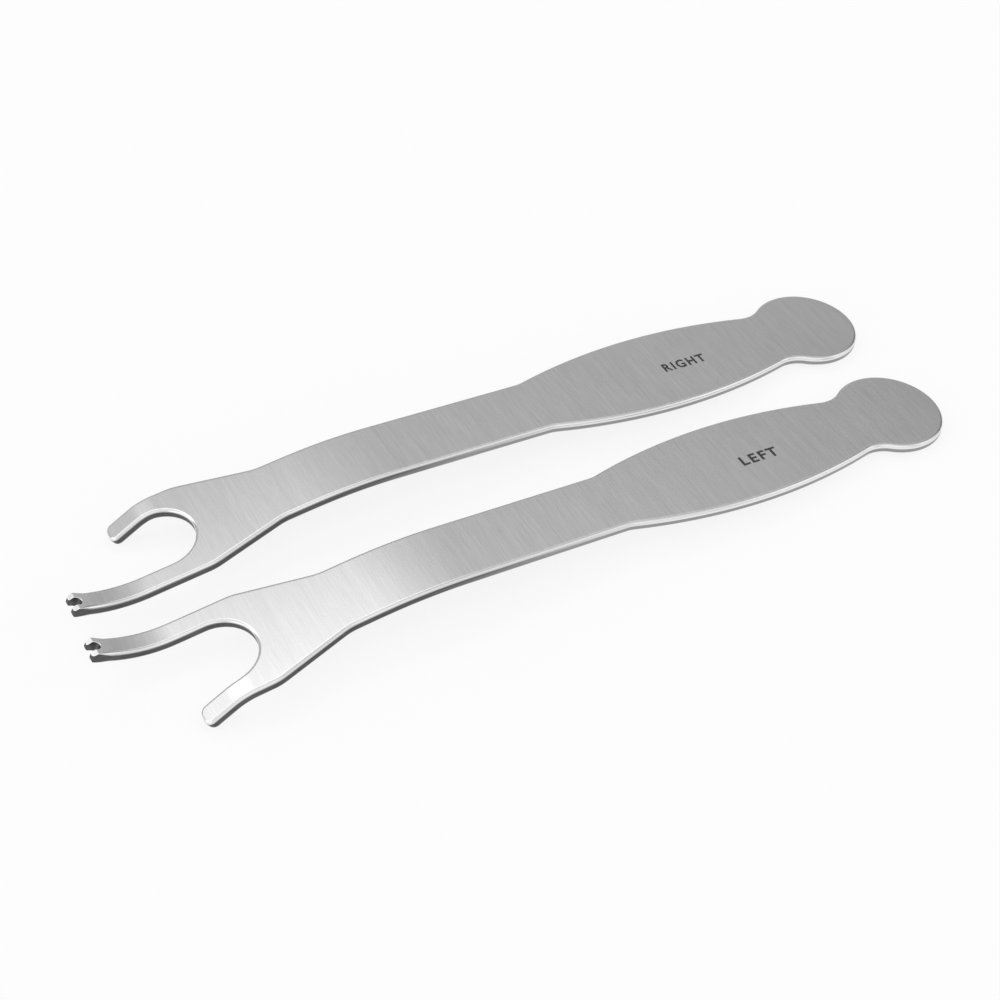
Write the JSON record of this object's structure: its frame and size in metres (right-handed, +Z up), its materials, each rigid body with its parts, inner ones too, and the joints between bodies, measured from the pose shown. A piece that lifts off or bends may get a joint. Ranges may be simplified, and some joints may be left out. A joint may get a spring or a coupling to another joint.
{
  "type": "glenoid retractor",
  "caption": "Flat steel bone retractor with a round knob handle, arched blade and forked end with a short bent prong and a long toothed prong, in mirrored left and right forms.",
  "frame": {"origin": "under the middle of the pair, on the surface both instruments lie on", "axes": "+X from the knobs to the forks, +Y towards the left instrument, +Z up"},
  "size_m": [0.2525, 0.0748, 0.0141],
  "materials": {
    "brushed_steel": "satin, brushed across the plate"
  },
  "bodies": {
    "right": {"right_retractor": "brushed_steel"},
    "left": {"left_retractor": "brushed_steel"}
  },
  "joints": [
    {"name": "left_lift", "type": "slide", "parent": "right", "child": "left", "axis": [0, 0, 1], "range_m": [0, 0.06]}
  ]
}
